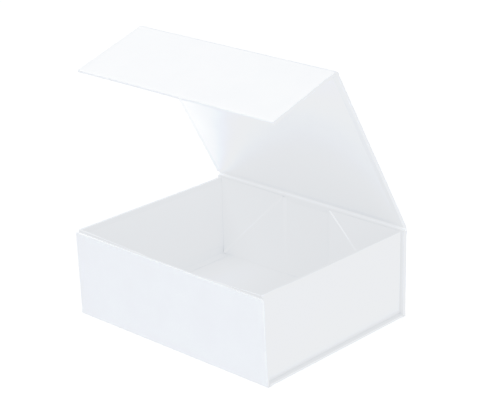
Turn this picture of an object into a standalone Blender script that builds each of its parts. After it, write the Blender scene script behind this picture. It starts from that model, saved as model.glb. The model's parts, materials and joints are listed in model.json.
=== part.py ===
"""Fold-flat rigid gift box with a magnetic closing flap, standing open and empty.

Units are metres, +Z is up, the front is at -Y and the hinged back (the spine) at +Y. The origin is the
centre of the base's underside. Each rigid panel has a hinge frame: an empty on the panel's fold line, whose
local X runs across the panel, local Z runs along the panel away from the fold, and local Y runs through the
panel from its outer face to its inner face. Coordinates in a hinge frame are called u, v and w.
"""

import math

import bmesh
import bpy
from mathutils import Matrix, Vector

# Driving dimensions of the whole box
WIDTH = 0.220
DEPTH = 0.179
CLOSED_HEIGHT = 0.083
LID_LENGTH = 0.185
FLAP_LENGTH = 0.079

# Rest position
LID_OPENING = math.radians(60.0)
FLAP_BEND = math.radians(77.0)
FRONT_LEAN = math.radians(1.3)

# Thickness of the layers of a rigid panel, from the outer face inwards
PAPER = 0.0002
BOARD = 0.0020
LAYER_GAP = 0.0001
BOARD_OUTER = PAPER + LAYER_GAP
BOARD_INNER = BOARD_OUTER + BOARD
WRAP_INNER = BOARD_INNER + LAYER_GAP + PAPER
LINING_OUTER = WRAP_INNER + LAYER_GAP
PANEL = LINING_OUTER + PAPER

# Borders of a panel's layers
TURN_IN = 0.012
LINING_MARGIN = 0.005
CLEARANCE = 0.0003

# Heights of the panels' free edges above the table, and where each panel starts along its own v
FRONT_TOP = 0.0776
SPINE_TOP = 0.0800
END_TOP = 0.0795
WALL_START = 0.0005
BASE_START = PANEL + CLEARANCE
LID_START = 0.0020
LID_END = LID_LENGTH - 0.0020
FLAP_START = PANEL + CLEARANCE

# End walls stand on the base, set in from its edges
END_SET_IN = 0.0036
END_INNER_X = WIDTH / 2 - END_SET_IN - PANEL
END_FOOT = PANEL + CLEARANCE

# Corner webs: a square of thin card creased at 45 degrees
WEB = 0.0011
TAPE = 0.0002
GLUED_OUTER = PANEL + LAYER_GAP
FREE_OUTER = PANEL + TAPE + 2 * LAYER_GAP
CREASE_W = FREE_OUTER + WEB
WEB_EDGE = END_INNER_X - CLEARANCE
WEB_FOOT = END_FOOT
WEB_SIZE = 0.0761
SCORE_GAP = 0.0006
TAPE_WIDTH = 0.008
TAPE_INSET = 0.006

# The end walls stop short of the corner webs, which swing past them half way through the fold
CORNER_RELIEF = 0.0030
END_LENGTH = DEPTH - 2 * (CREASE_W + CORNER_RELIEF)

# Closing magnets in the flap, and the steel discs in the front panel that they close on
DISC_RADIUS = 0.0060
DISC_SPREAD = 0.055
MAGNET_THICKNESS = 0.0015
STEEL_THICKNESS = 0.0010
MAGNET_TO_FOLD = 0.067
POCKET_PLAY = 0.0003
DISC_SIDES = 48

# Hinge paper at the foot of each end wall
FOOT_STRIP_WIDTH = 0.008
FOOT_STRIP_MARGIN = 0.002

WHITE_PAPER = ((0.86, 0.87, 0.89), 0.42, 0.0)
LINING_PAPER = ((0.84, 0.86, 0.89), 0.50, 0.0)
GREYBOARD = ((0.42, 0.40, 0.37), 0.90, 0.0)
NICKEL = ((0.66, 0.65, 0.62), 0.25, 1.0)
ZINC_STEEL = ((0.55, 0.56, 0.58), 0.40, 1.0)
TAPE_FILM = ((0.90, 0.86, 0.70), 0.35, 0.0)


def clear_scene():
    for obj in list(bpy.data.objects):
        bpy.data.objects.remove(obj, do_unlink=True)


def make_material(name, finish):
    color, roughness, metallic = finish
    material = bpy.data.materials.new(name)
    material.use_nodes = True
    shader = material.node_tree.nodes["Principled BSDF"]
    shader.inputs["Base Color"].default_value = (*color, 1.0)
    shader.inputs["Roughness"].default_value = roughness
    shader.inputs["Metallic"].default_value = metallic
    material.diffuse_color = (*color, 1.0)
    return material


def hinge_frame(name, location, parent=None, turn=(0.0, 0.0, 0.0)):
    frame = bpy.data.objects.new(name, None)
    frame.empty_display_size = 0.01
    bpy.context.scene.collection.objects.link(frame)
    frame.parent = parent
    frame.location = location
    frame.rotation_euler = turn
    return frame


def link_mesh(name, bm, frame, finish):
    bmesh.ops.recalc_face_normals(bm, faces=bm.faces)
    mesh = bpy.data.meshes.new(name)
    bm.to_mesh(mesh)
    bm.free()
    obj = bpy.data.objects.new(name, mesh)
    bpy.context.scene.collection.objects.link(obj)
    obj.parent = frame
    obj.data.materials.append(make_material(name, finish))
    return obj


def stacked_loops(name, frame, loops, finish):
    """A closed solid whose skin runs over rectangles in order. A loop is (half width, v low, v high, w)."""
    bm = bmesh.new()
    rings = []
    for half, low, high, w in loops:
        corners = ((-half, low), (half, low), (half, high), (-half, high))
        rings.append([bm.verts.new((u, w, v)) for u, v in corners])
    for ring, after in zip(rings, rings[1:]):
        for i in range(4):
            j = (i + 1) % 4
            bm.faces.new((ring[i], ring[j], after[j], after[i]))
    bm.faces.new(rings[0])
    bm.faces.new(rings[-1])
    return link_mesh(name, bm, frame, finish)


def prism(name, frame, outline, low, high, finish):
    """An outline of (u, v) points, extruded through w from low to high."""
    bm = bmesh.new()
    face = bm.faces.new([bm.verts.new((u, low, v)) for u, v in outline])
    grown = bmesh.ops.extrude_face_region(bm, geom=[face])
    moved = [item for item in grown["geom"] if isinstance(item, bmesh.types.BMVert)]
    bmesh.ops.translate(bm, verts=moved, vec=(0.0, high - low, 0.0))
    return link_mesh(name, bm, frame, finish)


def disc(name, frame, center, low, high, radius, finish):
    """A round disc whose axis runs through the panel, centred on (u, v), from w low to w high."""
    bm = bmesh.new()
    bmesh.ops.create_cone(
        bm,
        cap_ends=True,
        segments=DISC_SIDES,
        radius1=radius,
        radius2=radius,
        depth=high - low,
    )
    bmesh.ops.rotate(bm, verts=bm.verts, matrix=Matrix.Rotation(math.pi / 2, 3, "X"))
    bmesh.ops.translate(bm, verts=bm.verts, vec=(center[0], (low + high) / 2, center[1]))
    obj = link_mesh(name, bm, frame, finish)
    obj.data.shade_smooth()
    obj.data.set_sharp_from_angle(angle=math.radians(40.0))
    return obj


def cut_pocket(board, center, floor, radius):
    """Sinks a round pocket into a board from its inner face down to w = floor."""
    top = BOARD_INNER + CLEARANCE
    cutter = disc(board.name + "_cutter", board.parent, center, floor, top, radius, GREYBOARD)
    cutter.hide_render = True
    cutter.display_type = "WIRE"
    cut = board.modifiers.new("pocket", "BOOLEAN")
    cut.operation = "DIFFERENCE"
    cut.solver = "EXACT"
    cut.object = cutter


def wrap_loops(half, low, high, shift):
    """The wrap paper: over the outer face, round the four edges and turned in on to the inner face."""
    skin = PAPER
    room = LAYER_GAP
    return (
        (half, low, high, shift),
        (half, low, high, shift + WRAP_INNER),
        (half - TURN_IN, low + TURN_IN, high - TURN_IN, shift + WRAP_INNER),
        (half - TURN_IN, low + TURN_IN, high - TURN_IN, shift + BOARD_INNER + room),
        (half - skin, low + skin, high - skin, shift + BOARD_INNER + room),
        (half - skin, low + skin, high - skin, shift + skin),
    )


def rigid_panel(name, frame, half, low, high, shift=0.0, margin=LINING_MARGIN):
    """A board wrapped in paper, with a lining sheet over the turned-in edges. Returns the board."""
    border = PAPER + LAYER_GAP
    board = stacked_loops(
        name + "_board",
        frame,
        (
            (half - border, low + border, high - border, shift + BOARD_OUTER),
            (half - border, low + border, high - border, shift + BOARD_INNER),
        ),
        GREYBOARD,
    )
    stacked_loops(name + "_wrap", frame, wrap_loops(half, low, high, shift), WHITE_PAPER)
    stacked_loops(
        name + "_lining",
        frame,
        (
            (half - margin, low + margin, high - margin, shift + LINING_OUTER),
            (half - margin, low + margin, high - margin, shift + PANEL),
        ),
        LINING_PAPER,
    )
    return board


def corner_web(name, panel, side):
    """One corner's web on a panel's inner face, side +1 or -1 along u: glued half, free half and its tape."""
    edge = WEB_EDGE
    top = WEB_FOOT + WEB_SIZE
    inner = edge - WEB_SIZE
    glued = (
        (edge - 2 * SCORE_GAP, WEB_FOOT),
        (inner, top - 2 * SCORE_GAP),
        (inner, WEB_FOOT),
    )
    prism(
        name + "_web_glued",
        panel,
        [(side * u, v) for u, v in glued],
        GLUED_OUTER,
        CREASE_W - LAYER_GAP,
        LINING_PAPER,
    )
    free_frame = hinge_frame(name + "_web_crease", (side * edge, CREASE_W, WEB_FOOT), panel)
    free = ((0.0, SCORE_GAP), (0.0, WEB_SIZE), (SCORE_GAP - WEB_SIZE, WEB_SIZE))
    prism(
        name + "_web_free",
        free_frame,
        [(side * u, v) for u, v in free],
        -WEB,
        0.0,
        LINING_PAPER,
    )
    tape_outer = TAPE_INSET + TAPE_WIDTH
    tape_top = WEB_SIZE - TAPE_INSET
    tape = (
        (-TAPE_INSET, tape_outer + 2 * TAPE_INSET),
        (-TAPE_INSET, tape_top),
        (-tape_outer, tape_top),
        (-tape_outer, tape_outer + 2 * TAPE_INSET),
    )
    prism(
        name + "_web_tape",
        free_frame,
        [(side * u, v) for u, v in tape],
        -WEB - LAYER_GAP - TAPE,
        -WEB - LAYER_GAP,
        TAPE_FILM,
    )


def fold_strip(name, frame, runs, finish, half=WIDTH / 2):
    """Hinge paper over a fold at the frame's origin, bent once.

    Each run is (direction, length, inward normal), with its vectors as (w, v) in the frame.
    """
    (along_a, length_a, normal_a), (along_b, length_b, normal_b) = runs
    start = Vector(along_a) * length_a
    end = Vector(along_b) * length_b
    normal_a = Vector(normal_a)
    normal_b = Vector(normal_b)
    corner = (normal_a + normal_b) * PAPER / (1.0 + normal_a.dot(normal_b))
    section = (
        start,
        Vector((0.0, 0.0)),
        end,
        end + normal_b * PAPER,
        corner,
        start + normal_a * PAPER,
    )
    bm = bmesh.new()
    face = bm.faces.new([bm.verts.new((-half, w, v)) for w, v in section])
    grown = bmesh.ops.extrude_face_region(bm, geom=[face])
    moved = [item for item in grown["geom"] if isinstance(item, bmesh.types.BMVert)]
    bmesh.ops.translate(bm, verts=moved, vec=(2 * half, 0.0, 0.0))
    return link_mesh(name, bm, frame, finish)


def build_base():
    """The base lies with v running from the back fold to the front fold and w upwards."""
    frame = hinge_frame("base_frame", (0.0, DEPTH / 2, 0.0), turn=(math.pi / 2, 0.0, 0.0))
    rigid_panel("base", frame, WIDTH / 2, BASE_START, DEPTH - BASE_START, margin=0.003)


def build_front():
    frame = hinge_frame("front_fold", (0.0, -DEPTH / 2, 0.0), turn=(FRONT_LEAN, 0.0, 0.0))
    board = rigid_panel("front", frame, WIDTH / 2, WALL_START, FRONT_TOP)
    magnet_height = CLOSED_HEIGHT - MAGNET_TO_FOLD
    disc_high = BOARD_INNER - LAYER_GAP
    disc_low = disc_high - STEEL_THICKNESS
    for side, word in ((-1, "left"), (1, "right")):
        center = (side * DISC_SPREAD, magnet_height)
        cut_pocket(board, center, disc_low - LAYER_GAP, DISC_RADIUS + POCKET_PLAY)
        disc(f"front_steel_disc_{word}", frame, center, disc_low, disc_high, DISC_RADIUS, ZINC_STEEL)
        corner_web(f"front_{word}", frame, side)
    lean_in = (math.cos(FRONT_LEAN), math.sin(FRONT_LEAN))
    fold_strip(
        "front_hinge_paper",
        frame,
        (
            ((0.0, 1.0), WALL_START - LAYER_GAP, (1.0, 0.0)),
            (
                (lean_in[0], -lean_in[1]),
                BASE_START - LAYER_GAP,
                (lean_in[1], lean_in[0]),
            ),
        ),
        WHITE_PAPER,
    )


def build_spine():
    """The spine's frame faces the other way, so its +u is the box's left."""
    frame = hinge_frame("spine_fold", (0.0, DEPTH / 2, 0.0), turn=(0.0, 0.0, math.pi))
    rigid_panel("spine", frame, WIDTH / 2, WALL_START, SPINE_TOP)
    for side, word in ((1, "left"), (-1, "right")):
        corner_web(f"back_{word}", frame, side)
    fold_strip(
        "spine_hinge_paper",
        frame,
        (
            ((0.0, 1.0), WALL_START - LAYER_GAP, (1.0, 0.0)),
            ((1.0, 0.0), BASE_START - LAYER_GAP, (0.0, 1.0)),
        ),
        WHITE_PAPER,
    )
    return frame


def build_lid(spine):
    turn = LID_OPENING - math.pi / 2
    frame = hinge_frame("lid_fold", (0.0, 0.0, CLOSED_HEIGHT), spine, (turn, 0.0, 0.0))
    rigid_panel("lid", frame, WIDTH / 2, LID_START, LID_END)
    spine_down = (-math.sin(turn), -math.cos(turn))
    fold_strip(
        "lid_hinge_paper",
        frame,
        (
            (spine_down, CLOSED_HEIGHT - SPINE_TOP - LAYER_GAP, (math.cos(turn), -math.sin(turn))),
            ((0.0, 1.0), LID_START - LAYER_GAP, (1.0, 0.0)),
        ),
        WHITE_PAPER,
    )
    return frame


def build_flap(lid):
    frame = hinge_frame("flap_fold", (0.0, 0.0, LID_LENGTH), lid, (-FLAP_BEND, 0.0, 0.0))
    board = rigid_panel("flap", frame, WIDTH / 2, FLAP_START, FLAP_LENGTH)
    disc_high = BOARD_INNER - LAYER_GAP
    disc_low = disc_high - MAGNET_THICKNESS
    for side, word in ((1, "left"), (-1, "right")):
        center = (side * DISC_SPREAD, MAGNET_TO_FOLD)
        cut_pocket(board, center, disc_low - LAYER_GAP, DISC_RADIUS + POCKET_PLAY)
        disc(f"flap_magnet_{word}", frame, center, disc_low, disc_high, DISC_RADIUS, NICKEL)
    lid_back = (math.sin(FLAP_BEND), -math.cos(FLAP_BEND))
    fold_strip(
        "flap_hinge_paper",
        frame,
        (
            (lid_back, LID_LENGTH - LID_END - LAYER_GAP, (math.cos(FLAP_BEND), math.sin(FLAP_BEND))),
            ((0.0, 1.0), FLAP_START - LAYER_GAP, (1.0, 0.0)),
        ),
        WHITE_PAPER,
    )


def build_end(word, side):
    """An end wall turns on its inner foot, so its layers lie outside the frame's origin."""
    frame = hinge_frame(
        f"{word}_end_fold",
        (side * END_INNER_X, 0.0, END_FOOT),
        turn=(0.0, 0.0, side * math.pi / 2),
    )
    height = END_TOP - END_FOOT
    rigid_panel(f"{word}_end", frame, END_LENGTH / 2, 0.0, height, shift=-PANEL)
    foot = hinge_frame(f"{word}_foot_line", (0.0, 2 * LAYER_GAP + PAPER, 0.0), frame)
    fold_strip(
        f"{word}_end_hinge_paper",
        foot,
        (
            ((0.0, 1.0), FOOT_STRIP_WIDTH, (-1.0, 0.0)),
            ((1.0, 0.0), FOOT_STRIP_WIDTH, (0.0, -1.0)),
        ),
        LINING_PAPER,
        half=END_LENGTH / 2 - FOOT_STRIP_MARGIN,
    )


def main():
    clear_scene()
    build_base()
    build_front()
    spine = build_spine()
    lid = build_lid(spine)
    build_flap(lid)
    build_end("left", -1)
    build_end("right", 1)


main()
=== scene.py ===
"""Fold-flat white gift box with a magnetic closing flap, standing open: the visible paper surfaces.

Each panel has a frame of its own: u runs across the panel, v along it away from its fold line, and w through
it from the outer face inwards. Units are metres.
"""

import json
import math

import bmesh
import bpy
from mathutils import Matrix, Vector, noise


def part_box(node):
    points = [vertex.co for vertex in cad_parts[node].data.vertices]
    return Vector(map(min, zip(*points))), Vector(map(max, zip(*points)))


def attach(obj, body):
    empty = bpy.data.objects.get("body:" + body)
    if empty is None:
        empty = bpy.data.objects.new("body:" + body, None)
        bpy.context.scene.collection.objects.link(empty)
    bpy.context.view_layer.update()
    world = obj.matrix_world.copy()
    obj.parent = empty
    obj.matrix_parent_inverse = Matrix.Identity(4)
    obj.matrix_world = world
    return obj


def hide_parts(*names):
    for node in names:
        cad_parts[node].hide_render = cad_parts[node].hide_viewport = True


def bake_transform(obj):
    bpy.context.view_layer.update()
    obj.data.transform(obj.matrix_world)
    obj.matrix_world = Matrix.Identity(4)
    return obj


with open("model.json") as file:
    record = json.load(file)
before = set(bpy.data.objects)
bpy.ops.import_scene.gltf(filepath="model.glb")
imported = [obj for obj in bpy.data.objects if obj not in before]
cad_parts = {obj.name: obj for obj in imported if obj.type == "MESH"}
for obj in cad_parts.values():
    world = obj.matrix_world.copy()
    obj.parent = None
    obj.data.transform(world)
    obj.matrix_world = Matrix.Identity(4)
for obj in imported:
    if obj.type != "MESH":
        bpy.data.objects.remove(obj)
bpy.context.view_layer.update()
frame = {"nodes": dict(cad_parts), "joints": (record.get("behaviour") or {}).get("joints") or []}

# Layers of a rigid panel, as depths from its outer face inwards
PAPER = 0.0002
WRAP_INNER = 0.0026
LINING_OUTER = 0.0027
PANEL = 0.0029

# How far the wrap paper is turned in, the roundness of a wrapped edge, and of a lining sheet's corner
TURN_IN = 0.012
EDGE_RADIUS = 0.0006
SHEET_CORNER = 0.0012

# How far a lining sheet stops short of its panel's edges, and half the width of the one on the base
LINING_MARGIN = 0.005
FOOT_MARGIN = 0.0026
END_LINING_MARGIN = 0.0008
FLOOR_MARGIN = -0.0002
FLOOR_HALF = 0.1062

# Where the panels start and end along v. DEPTH is the whole base
DEPTH = 0.179
FRONT_TOP = 0.0776
SPINE_TOP = 0.0800
WALL_START = 0.0005
BASE_START = 0.0032
LID_START = 0.0020
LID_END = 0.183
FLAP_START = 0.0032
FLAP_LENGTH = 0.079
END_HEIGHT = 0.0763
END_DROP = 0.0002

# Half the width of the shell's panels, and of the end walls
HALF_WIDTH = 0.110
END_REACH = 0.0863

# Rest angles. FRONT_LEAN is the CAD front panel's, LEFT_LEAN and RIGHT_LEAN its twisted stand-in's
LID_TILT = math.radians(60.0)
FLAP_TILT = math.radians(17.0)
FRONT_LEAN = math.radians(1.3)
LEFT_LEAN = math.radians(1.3)
RIGHT_LEAN = math.radians(2.2)
LEFT_SPLAY = math.radians(2.4)

# The length of an end wall, at its front edge, that follows the front panel's lean
FRONT_EDGE_BAND = 0.05

# Waviness of the boards: swells in a metre, and the height over which it fades in from the fold line
SWELL_DENSITY = 11.0
BOW_FADE = 0.03

# Corner webs: the depths of both cards' faces, and the square that the two halves fill
GLUED_OUTER = 0.0030
GLUED_INNER = 0.0043
FREE_OUTER = 0.0033
CREASE_W = 0.0044
WEB_EDGE = 0.1034
WEB_FOOT = 0.0030
WEB_SIZE = 0.0763
SCORE = 0.0006
CREASE_END = 0.0004

# How far the front webs' top edges fall for each unit in from the corner
FRONT_LEFT_FALL = 0.030
FRONT_RIGHT_FALL = 0.058

# The free card lies a little further in, away from its crease: an even growth and a swell
WEB_EASE = 0.00008
EASE_GROWTH = 0.55
EASE_SWELL = 0.45
EASE_SHIFT = 0.25

# The crease stands up in a low ridge: distance from its line, and depth below the card's inner face
CREASE_SECTION = (
    (-0.0016, 0.00016),
    (-0.0011, -0.00014),
    (-0.0005, -0.00058),
    (0.0, -0.00072),
    (0.0005, -0.00058),
    (0.0011, -0.00014),
    (0.0016, 0.00016),
)

# Lining paper beside a glued card: distance out from the card's edge, and depth
SEAM = 0.0030
SEAM_SECTION = (
    (0.0, GLUED_INNER),
    (0.0008, GLUED_INNER - 0.0002),
    (SEAM, PANEL + 0.0002),
    (SEAM, PANEL - 0.0001),
    (0.0, PANEL - 0.0001),
)

# Hinge papers lie PROUD of a panel as far as LAP from its edge, and end at LAP_END, SUNK into it
LAP = 0.0016
LAP_END = 0.0028
PROUD = 0.00003
SUNK = 0.00012

# How far they stop short of the box's sides
FOLD_INSET = 0.0001
FLAP_FOLD_INSET = 0.00008

# How far each fold's curve keeps its direction at its two panels
WALL_PULLS = (0.0022, 0.0003)
LID_PULLS = (0.0016, 0.0016)

# The same for the flap's outer and inner paper
FLAP_PULLS = (0.0014, 0.0003)

# The lip of paper on the spine's top edge: depth from the outer face, and height above the board
LEDGE = ((0.0020, 0.0001), (0.0017, 0.0004), (0.0010, 0.0012), (0.0005, 0.0019))

# The hinge paper at the foot of an end wall: its reach, its bend, half its length and where it turns
FOOT_REACH = 0.008
FOOT_BEND = 0.0009
FOOT_ANGLES = [math.radians(15.0 * k) for k in range(7)]
FOOT_HALF = END_REACH - 0.0022

# The studio floor, a hair below the object
FLOOR_GLOW = 0.90
FLOOR_SIZE = 7.0
FLOOR_DROP = 0.00006

# Scene tone, and the tone it is shown at
TONES = (
    (0.0, 0.30),
    (0.30, 0.62),
    (0.47, 0.752),
    (0.60, 0.786),
    (0.68, 0.804),
    (0.765, 0.851),
    (0.84, 0.859),
    (0.895, 0.925),
    (0.95, 0.965),
    (1.0, 1.0),
)

# Added to the shown tone of red, green and blue, and fading out within TINT_FADE of white
COOL_TINT = (-0.016, 0.0, 0.018)
TINT_FADE = 0.1

# Points closer than this are merged into one
SAME_POINT = 1e-7
SAME_CORNER = 1e-6

JOINTS = {joint["name"]: joint for joint in frame["joints"]}


def smooth(t):
    t = min(max(t, 0.0), 1.0)
    return t * t * (3.0 - 2.0 * t)


def lerp(a, b, t):
    return a + (b - a) * t


# ---------------------------------------------------------------- panel frames


class Panel:
    """A panel's frame at rest, with the slight waviness of its glued board."""

    def __init__(self, body, origin, across, along, through, wave=0.0, seed=0.0):
        self.body = body
        self.origin = Vector(origin)
        self.across = Vector(across)
        self.along = Vector(along)
        self.through = Vector(through)
        self.wave = wave
        self.seed = seed

    def bend(self, u, v):
        """How far the board bows through its thickness, fading out along its fold line."""
        if not self.wave:
            return 0.0
        swell = noise.noise(Vector((u * SWELL_DENSITY, v * SWELL_DENSITY, self.seed)))
        return self.wave * swell * smooth(v / BOW_FADE)

    def at(self, u, v, w):
        w += self.bend(u, v)
        return self.origin + self.across * u + self.along * v + self.through * w


class FrontPanel(Panel):
    """The front panel twists: its right corner leans out further than its left one."""

    def at(self, u, v, w):
        lean = lerp(LEFT_LEAN, RIGHT_LEAN, (u + HALF_WIDTH) / (2 * HALF_WIDTH))
        along = Vector((0.0, -math.sin(lean), math.cos(lean)))
        through = Vector((0.0, math.cos(lean), math.sin(lean)))
        return self.origin + self.across * u + along * v + through * w


class EndPanel(Panel):
    """An end wall follows the front panel's lean with its front edge."""

    def __init__(self, *args, front_sign=1.0, lean=0.0, splay=0.0, **kwargs):
        super().__init__(*args, **kwargs)
        self.front_sign = front_sign
        self.lean = lean
        self.splay = splay

    def at(self, u, v, w):
        forward = smooth((self.front_sign * u - END_REACH + FRONT_EDGE_BAND) / FRONT_EDGE_BAND)
        w -= self.splay_at(self.front_sign * u, v)
        u += self.front_sign * forward * math.tan(self.lean) * v
        return super().at(u, v, w)

    def splay_at(self, toward_front, v):
        """How far the wall stands outwards at a height v, growing from its back edge to its front edge."""
        return math.tan(self.splay) * max(v, 0.0) * (toward_front + END_REACH) / (2 * END_REACH)


def joint_point(name):
    return Vector(JOINTS[name]["pos_m"])


RIGHT = Vector((1.0, 0.0, 0.0))
BACK = Vector((0.0, 1.0, 0.0))
UP = Vector((0.0, 0.0, 1.0))

spine_line = joint_point("spine_fold")
front_line = joint_point("front_fold")
lid_line = joint_point("lid_hinge")
flap_line = joint_point("flap_hinge")

base = Panel("base", spine_line, RIGHT, -BACK, UP)
front = FrontPanel("front", front_line, RIGHT, UP, BACK)
spine = Panel("spine", spine_line, -RIGHT, UP, -BACK, wave=0.00012, seed=2.0)
lid = Panel(
    "lid",
    lid_line,
    -RIGHT,
    (0.0, -math.cos(LID_TILT), math.sin(LID_TILT)),
    (0.0, -math.sin(LID_TILT), -math.cos(LID_TILT)),
    wave=0.00022,
    seed=5.0,
)
flap = Panel(
    "flap",
    flap_line,
    -RIGHT,
    (0.0, -math.cos(FLAP_TILT), -math.sin(FLAP_TILT)),
    (0.0, math.sin(FLAP_TILT), -math.cos(FLAP_TILT)),
    wave=0.00018,
    seed=9.0,
)
right_end = EndPanel(
    "right_end",
    joint_point("right_end_fold"),
    BACK,
    UP,
    -RIGHT,
    wave=0.00015,
    seed=13.0,
    front_sign=-1.0,
    lean=RIGHT_LEAN,
)
left_end = EndPanel(
    "left_end",
    joint_point("left_end_fold"),
    -BACK,
    UP,
    RIGHT,
    wave=0.00015,
    seed=17.0,
    front_sign=1.0,
    lean=LEFT_LEAN,
    splay=LEFT_SPLAY,
)


# ---------------------------------------------------------------- materials


def node_tree(name):
    material = bpy.data.materials.new(name)
    material.use_nodes = True
    tree = material.node_tree
    tree.nodes.clear()
    output = tree.nodes.new("ShaderNodeOutputMaterial")
    shader = tree.nodes.new("ShaderNodeBsdfPrincipled")
    tree.links.new(shader.outputs["BSDF"], output.inputs["Surface"])
    return material, tree, shader


def noise_texture(tree, scale, detail=3.0, roughness=0.55, stretch=(1.0, 1.0, 1.0)):
    coordinates = tree.nodes.new("ShaderNodeTexCoord")
    mapping = tree.nodes.new("ShaderNodeMapping")
    mapping.inputs["Scale"].default_value = stretch
    texture = tree.nodes.new("ShaderNodeTexNoise")
    texture.inputs["Scale"].default_value = scale
    texture.inputs["Detail"].default_value = detail
    texture.inputs["Roughness"].default_value = roughness
    tree.links.new(coordinates.outputs["Object"], mapping.inputs["Vector"])
    tree.links.new(mapping.outputs["Vector"], texture.inputs["Vector"])
    return texture.outputs["Fac"]


def ramp(tree, source, low, high, start=0.35, end=0.65):
    """Turns a noise value into a colour between low and high."""
    node = tree.nodes.new("ShaderNodeValToRGB")
    node.color_ramp.elements[0].position = start
    node.color_ramp.elements[0].color = (*low, 1.0)
    node.color_ramp.elements[1].position = end
    node.color_ramp.elements[1].color = (*high, 1.0)
    tree.links.new(source, node.inputs["Fac"])
    return node.outputs["Color"]


def spread(tree, source, low, high):
    """Turns a noise value into a number between low and high."""
    node = tree.nodes.new("ShaderNodeMapRange")
    node.inputs["From Min"].default_value = 0.3
    node.inputs["From Max"].default_value = 0.7
    node.inputs["To Min"].default_value = low
    node.inputs["To Max"].default_value = high
    tree.links.new(source, node.inputs["Value"])
    return node.outputs["Result"]


def bump(tree, source, distance, strength, below=None):
    node = tree.nodes.new("ShaderNodeBump")
    node.inputs["Distance"].default_value = distance
    node.inputs["Strength"].default_value = strength
    tree.links.new(source, node.inputs["Height"])
    if below is not None:
        tree.links.new(below, node.inputs["Normal"])
    return node.outputs["Normal"]


def paper_material(name, low, high, shine, grain):
    """Coated paper: a faint mottle from the board below, crossed pulp fibres, and a sheen that varies."""
    material, tree, shader = node_tree(name)
    mottle = noise_texture(tree, scale=34.0, detail=4.0, roughness=0.6)
    fibres = noise_texture(tree, scale=1500.0, detail=3.0, roughness=0.7, stretch=(1.0, 0.28, 0.28))
    cross = noise_texture(tree, scale=900.0, detail=2.0, roughness=0.6, stretch=(0.3, 1.0, 1.0))
    tree.links.new(ramp(tree, mottle, low, high), shader.inputs["Base Color"])
    tree.links.new(spread(tree, fibres, shine[0], shine[1]), shader.inputs["Roughness"])
    swell = bump(tree, mottle, distance=0.0004, strength=0.045)
    weave = bump(tree, cross, distance=0.00003, strength=grain * 0.7, below=swell)
    surface = bump(tree, fibres, distance=0.00002, strength=grain, below=weave)
    tree.links.new(surface, shader.inputs["Normal"])
    shader.inputs["Specular IOR Level"].default_value = 0.35
    return material


def greyboard_material():
    material, tree, shader = node_tree("greyboard")
    pulp = noise_texture(tree, scale=420.0, detail=5.0, roughness=0.75)
    flecks = noise_texture(tree, scale=1400.0, detail=2.0, roughness=0.5, stretch=(1.0, 0.2, 0.2))
    color = ramp(tree, pulp, (0.30, 0.28, 0.25), (0.50, 0.48, 0.44), start=0.3, end=0.7)
    tree.links.new(color, shader.inputs["Base Color"])
    tree.links.new(spread(tree, pulp, low=0.82, high=0.96), shader.inputs["Roughness"])
    tree.links.new(bump(tree, flecks, distance=0.0001, strength=0.5), shader.inputs["Normal"])
    return material


def metal_material(name, low, high, roughness, scale, stretch):
    material, tree, shader = node_tree(name)
    grain = noise_texture(tree, scale, detail=3.0, roughness=0.6, stretch=stretch)
    tree.links.new(ramp(tree, grain, low, high), shader.inputs["Base Color"])
    tree.links.new(spread(tree, grain, *roughness), shader.inputs["Roughness"])
    tree.links.new(bump(tree, grain, distance=0.00002, strength=0.3), shader.inputs["Normal"])
    shader.inputs["Metallic"].default_value = 1.0
    return material


def tape_material():
    material, tree, shader = node_tree("tape_film")
    haze = noise_texture(tree, scale=260.0, detail=4.0, roughness=0.6)
    color = ramp(tree, haze, (0.84, 0.80, 0.62), (0.92, 0.89, 0.76))
    tree.links.new(color, shader.inputs["Base Color"])
    tree.links.new(spread(tree, haze, low=0.22, high=0.42), shader.inputs["Roughness"])
    tree.links.new(bump(tree, haze, distance=0.00005, strength=0.3), shader.inputs["Normal"])
    return material


def floor_material():
    material, tree, shader = node_tree("studio_sweep")
    cloud = noise_texture(tree, scale=2.2, detail=3.0, roughness=0.5)
    color = ramp(tree, cloud, (0.15, 0.152, 0.154), (0.17, 0.172, 0.174))
    tree.links.new(color, shader.inputs["Base Color"])
    tree.links.new(spread(tree, cloud, low=0.85, high=0.95), shader.inputs["Roughness"])
    shader.inputs["Emission Color"].default_value = (0.985, 0.99, 1.0, 1.0)
    shader.inputs["Emission Strength"].default_value = FLOOR_GLOW
    return material


COVER = paper_material("cover_paper", (0.862, 0.869, 0.882), (0.876, 0.882, 0.893), (0.42, 0.56), 0.10)
LINING = paper_material("lining_paper", (0.862, 0.871, 0.887), (0.878, 0.886, 0.900), (0.50, 0.64), 0.14)
# A darker copy of the cover paper for the turned-in borders: painted shade on the bare borders round the
# linings
SHADED_TURN_IN_PAPER = paper_material("turned_paper_painted_shade", (0.790, 0.800, 0.818), (0.808, 0.817, 0.832), (0.46, 0.60), 0.10)
# A lighter copy of the paper for the spine's top lip and the web creases: painted light on them
LIT_FOLD_PAPER = paper_material("folded_paper_painted_light", (0.930, 0.935, 0.943), (0.945, 0.950, 0.957), (0.40, 0.52), 0.08)
GREYBOARD = greyboard_material()
NICKEL = metal_material(
    "magnet_nickel", (0.60, 0.58, 0.54), (0.70, 0.68, 0.65), (0.18, 0.32), 700.0, (1.0, 1.0, 1.0)
)
ZINC = metal_material(
    "zinc_steel", (0.50, 0.52, 0.54), (0.60, 0.61, 0.63), (0.32, 0.48), 900.0, (1.0, 0.2, 0.2)
)
TAPE = tape_material()


# ---------------------------------------------------------------- mesh helpers


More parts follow.
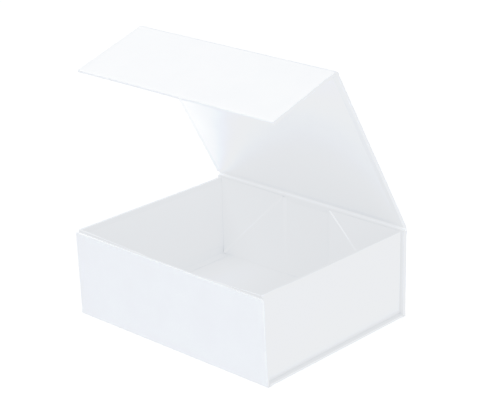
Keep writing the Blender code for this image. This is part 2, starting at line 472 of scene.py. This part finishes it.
def finish_mesh(name, bm, material, body=None, replaced=(), smooth_angle=35.0):
    """Turns bm into a piece of the object. Edges sharper than smooth_angle stay crisp."""
    bmesh.ops.recalc_face_normals(bm, faces=bm.faces)
    mesh = bpy.data.meshes.new(name)
    bm.to_mesh(mesh)
    bm.free()
    mesh.materials.append(material)
    mesh.shade_smooth()
    mesh.set_sharp_from_angle(angle=math.radians(smooth_angle))
    obj = bpy.data.objects.new(name, mesh)
    bpy.context.scene.collection.objects.link(obj)
    if body:
        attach(obj, body)
    if replaced:
        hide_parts(*replaced)
    return obj


def fill_grid(bm, grid):
    for row, after in zip(grid, grid[1:]):
        for k in range(len(row) - 1):
            bm.faces.new((row[k], row[k + 1], after[k + 1], after[k]))


def border(grid):
    """The points round the edge of a grid, in order."""
    ring = grid[0][:]
    ring += [row[-1] for row in grid[1:]]
    ring += list(reversed(grid[-1][:-1]))
    ring += [row[0] for row in reversed(grid[1:-1])]
    return ring


def stitch(bm, ring, after, look=0):
    """Joins two closed loops of points with a band of faces. look is the band's material slot."""
    count = len(ring)
    for k in range(count):
        j = (k + 1) % count
        bm.faces.new((ring[k], ring[j], after[j], after[k])).material_index = look


def lines_across(low, high, radius, count, turns=3):
    """Grid lines from low to high: fine over the rounded edges and even between them."""
    lines = [low + radius * (1.0 - math.cos(math.pi / 2 * k / turns)) for k in range(turns)]
    inner = [lerp(low + radius, high - radius, k / count) for k in range(count + 1)]
    return lines + inner + [low + high - x for x in reversed(lines)]


def rounded(u, v, half, low, high, radius, scale=1.0):
    """A point of a face with rounded edges: its u and v, and how far the edge's curve drops below the face.

    scale pulls the point back from the edge: 1 leaves it there and 0 takes it in by the whole radius.
    """
    core_u = min(max(u, radius - half), half - radius)
    core_v = min(max(v, low + radius), high - radius)
    over = Vector((u - core_u, v - core_v))
    reach = over.length
    if reach > radius:
        over *= radius / reach
        reach = radius
    drop = radius - math.sqrt(max(radius * radius - reach * reach, 0.0))
    return core_u + over.x * scale, core_v + over.y * scale, drop


def cover(name, panel, half, low, high, replaced, outer=0.0, columns=36, rows=24, turn_in=TURN_IN):
    """Wrap paper: over the outer face, round the four edges, and turned in on to the inner face, where the
    turned-in band takes a darker copy of the paper as painted shade.
    """
    bm = bmesh.new()
    radius = EDGE_RADIUS
    us = lines_across(-half, half, radius, columns)
    vs = lines_across(low, high, radius, rows)
    grid = []
    for v in vs:
        row = []
        for u in us:
            pu, pv, drop = rounded(u, v, half, low, high, radius)
            row.append(bm.verts.new(panel.at(pu, pv, outer + drop)))
        grid.append(row)
    fill_grid(bm, grid)
    rim = border([[(u, v) for u in us] for v in vs])
    inner_w = outer + WRAP_INNER

    def loop(scale, w):
        made = []
        for u, v in rim:
            pu, pv, _ = rounded(u, v, half, low, high, radius, scale)
            made.append(bm.verts.new(panel.at(pu, pv, w)))
        return made

    loops = [border(grid)]
    turns = 3
    for k in range(turns + 1):
        angle = math.pi / 2 * k / turns
        loops.append(loop(math.cos(angle), inner_w - radius * (1.0 - math.sin(angle))))
    middle = (low + high) / 2
    reach_v = (high - low) / 2 - radius
    for share in (0.5, 1.0):
        ring = []
        inset = turn_in * share
        for u, v in rim:
            pu, pv, _ = rounded(u, v, half, low, high, radius, 0.0)
            pu *= (half - inset) / (half - radius)
            pv = middle + (pv - middle) * (reach_v + radius - inset) / reach_v
            ring.append(bm.verts.new(panel.at(pu, pv, inner_w)))
        loops.append(ring)
    for ring, after in zip(loops[:-3], loops[1:-2]):
        stitch(bm, ring, after)
    # The turned-in band takes the darker paper: painted shade
    stitch(bm, loops[-3], loops[-2], look=1)
    stitch(bm, loops[-2], loops[-1], look=1)
    bmesh.ops.remove_doubles(bm, verts=bm.verts, dist=SAME_POINT)
    obj = finish_mesh(name, bm, COVER, panel.body, replaced, smooth_angle=50.0)
    obj.data.materials.append(SHADED_TURN_IN_PAPER)
    skin = obj.modifiers.new("paper", "SOLIDIFY")
    skin.thickness = PAPER
    skin.offset = -1.0
    return obj


def sheet(name, panel, half, low, high, outer, inner, replaced, columns=30, rows=20, corner=SHEET_CORNER):
    """A flat sheet glued on a panel: its face from a grid, with square cut edges and rounded corners."""
    bm = bmesh.new()
    us = lines_across(-half, half, corner, columns)
    vs = lines_across(low, high, corner, rows)

    def layer(w):
        grid = []
        for v in vs:
            row = []
            for u in us:
                pu, pv, _ = rounded(u, v, half, low, high, corner)
                row.append(bm.verts.new(panel.at(pu, pv, w)))
            grid.append(row)
        return grid

    below, above = layer(outer), layer(inner)
    for grid in (below, above):
        fill_grid(bm, grid)
    stitch(bm, border(below), border(above))
    return finish_mesh(name, bm, LINING, panel.body, replaced, smooth_angle=40.0)


def swept_strip(name, section, half, material, columns=16):
    """A closed section of world points, carried across the box from -half to half."""
    bm = bmesh.new()
    rows = []
    for i in range(columns + 1):
        shift = RIGHT * lerp(-half, half, i / columns)
        rows.append([bm.verts.new(point + shift) for point in section])
    for row, after in zip(rows, rows[1:]):
        stitch(bm, row, after)
    bm.faces.new(rows[0])
    bm.faces.new(rows[-1])
    return finish_mesh(name, bm, material, None, (), smooth_angle=40.0)


def curve_between(p, tangent_p, q, tangent_q, steps, pulls):
    """Points of a smooth bend that leaves p along tangent_p and reaches q along tangent_q.

    pulls says how far the bend keeps each of the two directions.
    """
    a = p + tangent_p * pulls[0]
    b = q - tangent_q * pulls[1]
    points = []
    for k in range(steps + 1):
        t = k / steps
        s = 1.0 - t
        points.append(p * s**3 + a * (3 * s * s * t) + b * (3 * s * t * t) + q * t**3)
    return points


# ---------------------------------------------------------------- rigid panels


def build_panels():
    cover("base_cover", base, HALF_WIDTH, BASE_START, DEPTH - BASE_START, ["base_wrap"])
    sheet(
        "base_floor_sheet",
        base,
        FLOOR_HALF,
        BASE_START + FLOOR_MARGIN,
        DEPTH - BASE_START - FLOOR_MARGIN,
        LINING_OUTER,
        PANEL,
        ["base_lining"],
    )
    for name, panel, half, low, high, outer in (
        ("front", front, HALF_WIDTH, WALL_START, FRONT_TOP, 0.0),
        ("spine", spine, HALF_WIDTH, WALL_START, SPINE_TOP, 0.0),
        ("lid", lid, HALF_WIDTH, LID_START, LID_END, 0.0),
        ("flap", flap, HALF_WIDTH, FLAP_START, FLAP_LENGTH, 0.0),
        ("left_end", left_end, END_REACH, -END_DROP, END_HEIGHT, -PANEL),
        ("right_end", right_end, END_REACH, -END_DROP, END_HEIGHT, -PANEL),
    ):
        cover(name + "_cover", panel, half, low, high, [name + "_wrap"], outer)
        side_margin = END_LINING_MARGIN if panel in (left_end, right_end) else LINING_MARGIN
        foot_margin = LINING_MARGIN if panel in (lid, flap) else FOOT_MARGIN
        sheet(
            name + "_lining_sheet",
            panel,
            half - side_margin,
            low + foot_margin,
            high - LINING_MARGIN,
            outer + LINING_OUTER,
            outer + PANEL,
            [name + "_lining"],
        )


def follow(node, name, panel, material, cuts, straight=None):
    """A hidden piece of a panel, bent with the panel and cut finer for it.

    cuts is the number of slices along x, y and z, and straight the (along, through) of the unbent panel.
    """
    bm = bmesh.new()
    bm.from_mesh(frame["nodes"][node].data)
    low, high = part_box(node)
    bmesh.ops.remove_doubles(bm, verts=bm.verts, dist=SAME_CORNER)
    for axis, count in zip(range(3), cuts):
        normal = Vector([1.0 if k == axis else 0.0 for k in range(3)])
        for k in range(1, count):
            place = normal * lerp(low[axis], high[axis], k / count)
            parts = bm.verts[:] + bm.edges[:] + bm.faces[:]
            bmesh.ops.bisect_plane(bm, geom=parts, plane_co=place, plane_no=normal)
    along, through = straight or (panel.along, panel.through)
    for vert in bm.verts:
        offset = vert.co - panel.origin
        vert.co = panel.at(offset.dot(panel.across), offset.dot(along), offset.dot(through))
    return finish_mesh(name, bm, material, panel.body, [node], smooth_angle=35.0)


# The CAD front panel's own directions along and through
LEANED = (
    Vector((0.0, -math.sin(FRONT_LEAN), math.cos(FRONT_LEAN))),
    Vector((0.0, math.cos(FRONT_LEAN), math.sin(FRONT_LEAN))),
)


def build_bent_cores():
    follow("front_board", "front_core", front, GREYBOARD, cuts=(16, 1, 4), straight=LEANED)
    follow("left_end_board", "left_end_core", left_end, GREYBOARD, cuts=(1, 12, 4))
    for word in ("left", "right"):
        node = f"front_steel_disc_{word}"
        follow(node, f"front_catch_{word}", front, ZINC, cuts=(3, 1, 3), straight=LEANED)


# ---------------------------------------------------------------- corner webs


def web_point(panel, side, p, q, w, splay=0.0):
    """A web's point: p runs in from its outer edge and q up from its foot.

    Where p is less than q, the point lies on the free half.
    """
    ease = 0.0
    if p < q:
        gap = (q - p) / WEB_SIZE
        swell = math.sin(math.pi * gap) * (p / WEB_SIZE + EASE_SHIFT)
        ease = WEB_EASE * (EASE_GROWTH * gap + EASE_SWELL * swell)
    out = math.tan(splay) * q * (1.0 - p / WEB_SIZE)
    return panel.at(side * (WEB_EDGE - p + out), WEB_FOOT + q, w + ease)


def web_card(name, panel, side, corners, outer, inner, body, replaced, splay=0.0, steps=18):
    """A piece of thin card with four corners (p, q) in order round it, two of which may be the same point."""
    bm = bmesh.new()
    a, b, c, d = corners

    def layer(w):
        grid = []
        for i in range(steps + 1):
            t = i / steps
            row = []
            for k in range(steps + 1):
                s = k / steps
                p = lerp(lerp(a[0], b[0], s), lerp(d[0], c[0], s), t)
                q = lerp(lerp(a[1], b[1], s), lerp(d[1], c[1], s), t)
                row.append(bm.verts.new(web_point(panel, side, p, q, w, splay)))
            grid.append(row)
        return grid

    below, above = layer(outer), layer(inner)
    for grid in (below, above):
        fill_grid(bm, grid)
    stitch(bm, border(below), border(above))
    bmesh.ops.remove_doubles(bm, verts=bm.verts, dist=SAME_CORNER)
    obj = finish_mesh(name, bm, LINING, body, replaced, smooth_angle=40.0)
    soften = obj.modifiers.new("soft_edge", "BEVEL")
    soften.width = 0.0002
    soften.segments = 2
    soften.limit_method = "ANGLE"
    soften.angle_limit = math.radians(50.0)
    return obj


def web_crease(name, panel, side, tip, splay):
    """The paper that joins a web's two halves, bent up in a low ridge along the 45 degree crease, in a
    lighter paper that paints a highlight along the crease.
    """
    bm = bmesh.new()
    steps = 24
    section = [(d, CREASE_W - dip) for d, dip in CREASE_SECTION]
    ring = section + [(d, w - PAPER) for d, w in reversed(section)]
    rows = []
    for i in range(steps + 1):
        run = lerp(CREASE_END, tip - CREASE_END, i / steps)
        row = []
        for d, w in ring:
            shift = d / math.sqrt(2.0)
            p = min(max(run - shift, 0.0), tip)
            q = min(max(run + shift, 0.0), tip)
            row.append(bm.verts.new(web_point(panel, side, p, q, w, splay)))
        rows.append(row)
    for row, after in zip(rows, rows[1:]):
        stitch(bm, row, after)
    bm.faces.new(rows[0])
    bm.faces.new(rows[-1])
    # The lighter paper paints a highlight along the crease
    obj = finish_mesh(name, bm, LIT_FOLD_PAPER, None, (), smooth_angle=60.0)
    middle = WEB_SIZE / 2
    reach = SCORE / math.sqrt(2.0)
    below = web_point(panel, side, middle + reach, middle - reach, CREASE_W)
    above = web_point(panel, side, middle - reach, middle + reach, CREASE_W)
    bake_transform(obj)
    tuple(below)
    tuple(above)
    return obj


def build_web(stem, panel, side, slope, splay):
    """slope is how far the web's top edge falls for each unit in from the corner."""
    top = WEB_SIZE
    tip = top / (1.0 + slope)
    inner_top = min(top - 2 * SCORE, top - slope * top)
    web_card(
        stem + "_glued_card",
        panel,
        side,
        ((2 * SCORE, 0.0), (top, 0.0), (top, inner_top), (tip, tip - 2 * SCORE)),
        GLUED_OUTER,
        GLUED_INNER,
        panel.body,
        [stem + "_glued"],
        splay,
    )
    web_card(
        stem + "_free_card",
        panel,
        side,
        ((0.0, SCORE), (0.0, top), (tip - SCORE, tip), (tip - SCORE, tip)),
        FREE_OUTER,
        CREASE_W,
        stem,
        [stem + "_free"],
        splay,
    )
    web_crease(stem + "_crease_paper", panel, side, tip, splay)
    seam_ramp(stem + "_seam", panel, side, top, inner_top)


def seam_ramp(name, panel, side, p, top):
    """The lining paper that runs down from the glued card's edge to the panel's own lining."""
    bm = bmesh.new()
    steps = 16
    rows = []
    for k in range(steps + 1):
        q = lerp(0.0, top, k / steps)
        row = []
        for out, w in SEAM_SECTION:
            row.append(bm.verts.new(panel.at(side * (WEB_EDGE - p - out), WEB_FOOT + q, w)))
        rows.append(row)
    for row, after in zip(rows, rows[1:]):
        stitch(bm, row, after)
    bm.faces.new(rows[0])
    bm.faces.new(rows[-1])
    finish_mesh(name, bm, LINING, panel.body, (), smooth_angle=25.0)


def build_webs():
    build_web("front_left_web", front, side=-1, slope=FRONT_LEFT_FALL, splay=LEFT_SPLAY)
    build_web("front_right_web", front, side=1, slope=FRONT_RIGHT_FALL, splay=0.0)
    build_web("back_left_web", spine, side=1, slope=0.0, splay=0.0)
    build_web("back_right_web", spine, side=-1, slope=0.0, splay=0.0)
    for hand in ("left", "right"):
        node = f"front_{hand}_web_tape"
        piece = follow(node, node + "_film", front, TAPE, cuts=(4, 1, 6), straight=LEANED)
        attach(piece, f"front_{hand}_web")


# ---------------------------------------------------------------- hinge papers


def unbent(panel, v, w):
    """A point on a panel's middle line, without its waviness."""
    return panel.origin + panel.along * v + panel.through * w


class FoldEdge:
    """Where a panel's board ends beside a fold: its v, and the sign of v that leads away from the fold."""

    def __init__(self, panel, v, away):
        self.panel = panel
        self.v = v
        self.away = away

    def point(self, back, w):
        return unbent(self.panel, self.v + self.away * back, w)

    def toward_fold(self):
        return self.panel.along * -self.away


def fold_path(a, b, surface, sunk, steps, pulls):
    """Paper from one board, over the fold, to the other.

    Its depth on the boards is surface, and at its two ends sunk.
    """
    leave, reach = a.point(0.0, surface), b.point(0.0, surface)
    path = [a.point(LAP_END, sunk), a.point(LAP, surface)]
    path += curve_between(leave, a.toward_fold(), reach, -b.toward_fold(), steps, pulls)
    path += [b.point(LAP, surface), b.point(LAP_END, sunk)]
    return path


def outer_path(a, b, pulls):
    return fold_path(a, b, surface=-PROUD, sunk=SUNK, steps=10, pulls=pulls)


def inner_path(a, b, pulls):
    return fold_path(a, b, surface=WRAP_INNER + PROUD, sunk=WRAP_INNER - SUNK, steps=8, pulls=pulls)


def bend_over(obj, replaced):
    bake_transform(obj)
    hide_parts(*replaced)


def outer_fold(name, a, b, pulls, replaced, ledge=()):
    """Hinge paper on the outer side: from one panel's edge, over the fold, to the other's.

    ledge gives the points of an inner lip that fills the fold, in order from panel a to panel b.
    """
    path = outer_path(a, b, pulls)
    under = [a.point(LAP_END, SUNK + PAPER), a.point(0.0, SUNK + PAPER), *ledge]
    under += [b.point(0.0, SUNK + PAPER), b.point(LAP_END, SUNK + PAPER)]
    # With a lip the strip takes the lighter paper: painted light on the spine's top edge
    look = LIT_FOLD_PAPER if ledge else COVER
    obj = swept_strip(name, path + under[::-1], HALF_WIDTH - FOLD_INSET, look)
    bend_over(obj, replaced)


def flap_fold(name, a, b, pulls, replaced):
    """Hinge paper on both sides of a fold between two boards, pressed together between their edges."""
    near = SUNK + PAPER
    far = WRAP_INNER - near
    section = outer_path(a, b, (pulls[0], pulls[0]))
    section += [b.point(LAP_END, near), b.point(0.0, near), b.point(0.0, far), b.point(LAP_END, far)]
    section += inner_path(a, b, (pulls[1], pulls[1]))[::-1]
    section += [a.point(LAP_END, far), a.point(0.0, far), a.point(0.0, near), a.point(LAP_END, near)]
    obj = swept_strip(name, section, HALF_WIDTH - FLAP_FOLD_INSET, COVER)
    bend_over(obj, replaced)


def foot_strip(end, side):
    """Hinge paper in the corner between an end wall and the base: up the wall and over the floor."""
    bm = bmesh.new()
    bend = [(FOOT_BEND * (1 - math.sin(a)), FOOT_BEND * (1 - math.cos(a))) for a in FOOT_ANGLES]
    path = [(FOOT_REACH, 0.0), (lerp(FOOT_REACH, FOOT_BEND, 0.5), 0.0), *bend]
    path += [(0.0, lerp(FOOT_REACH, FOOT_BEND, 0.5)), (0.0, FOOT_REACH)]
    steps = 24
    rows = []
    for k in range(steps + 1):
        along = lerp(-1.0, 1.0, k / steps) * FOOT_HALF
        section = []
        for lift in (PAPER, PROUD):
            ring = []
            for inward, up in path:
                if up > inward:
                    ring.append(end.at(along, up, inward + lift))
                else:
                    ring.append(end.at(along, 0.0, inward) + UP * (up + lift))
            section += ring if lift == PAPER else ring[::-1]
        rows.append([bm.verts.new(point) for point in section])
    for row, after in zip(rows, rows[1:]):
        stitch(bm, row, after)
    bm.faces.new(rows[0])
    bm.faces.new(rows[-1])
    name = end.body + "_foot_strip"
    obj = finish_mesh(name, bm, LINING, None, (), smooth_angle=40.0)
    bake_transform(obj)
    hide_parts(end.body + "_hinge_paper")


def build_folds():
    leaned = Panel("front", front_line, RIGHT, *LEANED)
    outer_fold(
        "front_fold_paper",
        FoldEdge(base, DEPTH - BASE_START, -1.0),
        FoldEdge(leaned, WALL_START, 1.0),
        WALL_PULLS,
        ["front_hinge_paper"],
    )
    outer_fold(
        "spine_fold_paper",
        FoldEdge(base, BASE_START, 1.0),
        FoldEdge(spine, WALL_START, 1.0),
        WALL_PULLS,
        ["spine_hinge_paper"],
    )
    outer_fold(
        "lid_fold_paper",
        FoldEdge(spine, SPINE_TOP, -1.0),
        FoldEdge(lid, LID_START, 1.0),
        LID_PULLS,
        ["lid_hinge_paper"],
        [unbent(spine, SPINE_TOP + rise, depth) for depth, rise in LEDGE],
    )
    flap_fold(
        "flap_fold_paper",
        FoldEdge(lid, LID_END, -1.0),
        FoldEdge(flap, FLAP_START, 1.0),
        FLAP_PULLS,
        ["flap_hinge_paper"],
    )
    for side, end in ((-1.0, left_end), (1.0, right_end)):
        foot_strip(end, side)


build_panels()
build_bent_cores()
build_webs()
build_folds()


# ---------------------------------------------------------------- looks of the CAD nodes


def dress_cad_nodes():
    for name, node in frame["nodes"].items():
        if name.endswith("_board"):
            look = GREYBOARD
        elif "_magnet_" in name:
            look = NICKEL
        elif "_disc_" in name:
            look = ZINC
        elif name.endswith("_tape"):
            look = TAPE
        else:
            look = LINING
        node.data.materials.clear()
        node.data.materials.append(look)


dress_cad_nodes()


# ---------------------------------------------------------------- studio


def build_floor():
    bm = bmesh.new()
    bmesh.ops.create_grid(bm, x_segments=24, y_segments=24, size=FLOOR_SIZE)
    bmesh.ops.translate(bm, verts=bm.verts, vec=(0.0, 0.0, -FLOOR_DROP))
    mesh = bpy.data.meshes.new("studio_floor")
    bm.to_mesh(mesh)
    bm.free()
    mesh.materials.append(floor_material())
    floor = bpy.data.objects.new("studio_floor", mesh)
    bpy.context.scene.collection.objects.link(floor)


def build_world():
    world = bpy.data.worlds.new("studio")
    bpy.context.scene.world = world
    world.use_nodes = True
    background = world.node_tree.nodes["Background"]
    background.inputs["Color"].default_value = (0.975, 0.985, 1.0, 1.0)
    background.inputs["Strength"].default_value = 0.35


def soft_light(name, place, target, size, power, spread=180.0):
    light = bpy.data.lights.new(name, "AREA")
    light.shape = "RECTANGLE"
    light.size, light.size_y = size
    light.energy = power
    light.spread = math.radians(spread)
    obj = bpy.data.objects.new(name, light)
    bpy.context.scene.collection.objects.link(obj)
    obj.location = place
    aim = Vector(target) - Vector(place)
    obj.rotation_euler = aim.to_track_quat("-Z", "Y").to_euler()
    obj.visible_camera = False
    return obj


def light_only(light, names):
    """Keeps a light off everything but the named pieces."""
    lit = bpy.data.collections.new(light.name + "_lit")
    for name in names:
        lit.objects.link(bpy.data.objects[name])
    light.light_linking.receiver_collection = lit


def build_camera():
    azimuth = math.radians(43.02)
    elevation = math.radians(21.27)
    roll = math.radians(-1.145)
    distance = 1.417
    shift_right = 0.0078
    shift_up = 0.0083
    back = Vector(
        (
            math.sin(azimuth) * math.cos(elevation),
            -math.cos(azimuth) * math.cos(elevation),
            math.sin(elevation),
        )
    )
    right = Vector((math.cos(azimuth), math.sin(azimuth), 0.0))
    up = back.cross(right)
    place = Vector((0.0, 0.0, 0.09)) + back * distance + right * shift_right + up * shift_up
    level_right = right * math.cos(roll) + up * math.sin(roll)
    level_up = up * math.cos(roll) - right * math.sin(roll)
    data = bpy.data.cameras.new("camera")
    data.sensor_width = 36.0
    data.lens = 119.5
    data.clip_start = 0.05
    data.clip_end = 30.0
    camera = bpy.data.objects.new("camera", data)
    bpy.context.scene.collection.objects.link(camera)
    turn = Matrix((level_right, level_up, back)).transposed().to_4x4()
    camera.matrix_world = Matrix.Translation(place) @ turn
    bpy.context.scene.camera = camera


def high_key_development():
    """The picture is developed high key: a tone curve lifts the shades and keeps white at white."""
    settings = bpy.context.scene.view_settings
    settings.view_transform = "Standard"
    settings.look = "None"
    settings.use_curve_mapping = True
    for curve, tint in zip(settings.curve_mapping.curves, COOL_TINT):
        tones = [(shade, shown + tint * min(1.0, (1.0 - shown) / TINT_FADE)) for shade, shown in TONES]
        curve.points[0].location = tones[0]
        curve.points[1].location = tones[-1]
        for tone in tones[1:-1]:
            curve.points.new(*tone)
    settings.curve_mapping.update()


def build_lights():
    """Three large soft lights, and three small ones that reach only a few named pieces."""
    middle = (0.0, 0.0, 0.1)
    soft_light("key", (-0.6, -0.25, 2.2), middle, size=(1.6, 1.6), power=29.6)
    soft_light("front_fill", (-0.20, -2.12, 1.38), middle, size=(1.2, 1.0), power=10.2)
    soft_light("right_fill", (2.20, -0.74, 0.72), middle, size=(1.2, 1.2), power=14.2)
    low_left = soft_light(
        "low_left",
        (-0.205, -0.05, 0.006),
        (-0.098, 0.055, 0.138),
        size=(0.08, 0.16),
        power=0.122,
        spread=120.0,
    )
    light_only(low_left, ("lid_cover", "lid_lining_sheet", "flap_fold_paper", "flap_lining_sheet"))
    fold_light = soft_light(
        "fold_light", (-0.10, -1.20, 0.74), (0.0, 0.09, 0.08), size=(0.5, 0.3), power=3.6
    )
    light_only(fold_light, ("lid_fold_paper", "back_right_web_crease_paper"))
    web_light = soft_light(
        "web_light", (0.30, -1.20, 0.80), (-0.03, 0.09, 0.06), size=(0.3, 0.2), power=1.2
    )
    cards = ("back_right_web_free_card", "back_right_web_glued_card")
    light_only(web_light, ("back_left_web_crease_paper", "back_left_web_seam", *cards))


build_floor()
build_world()
build_lights()
build_camera()
high_key_development()
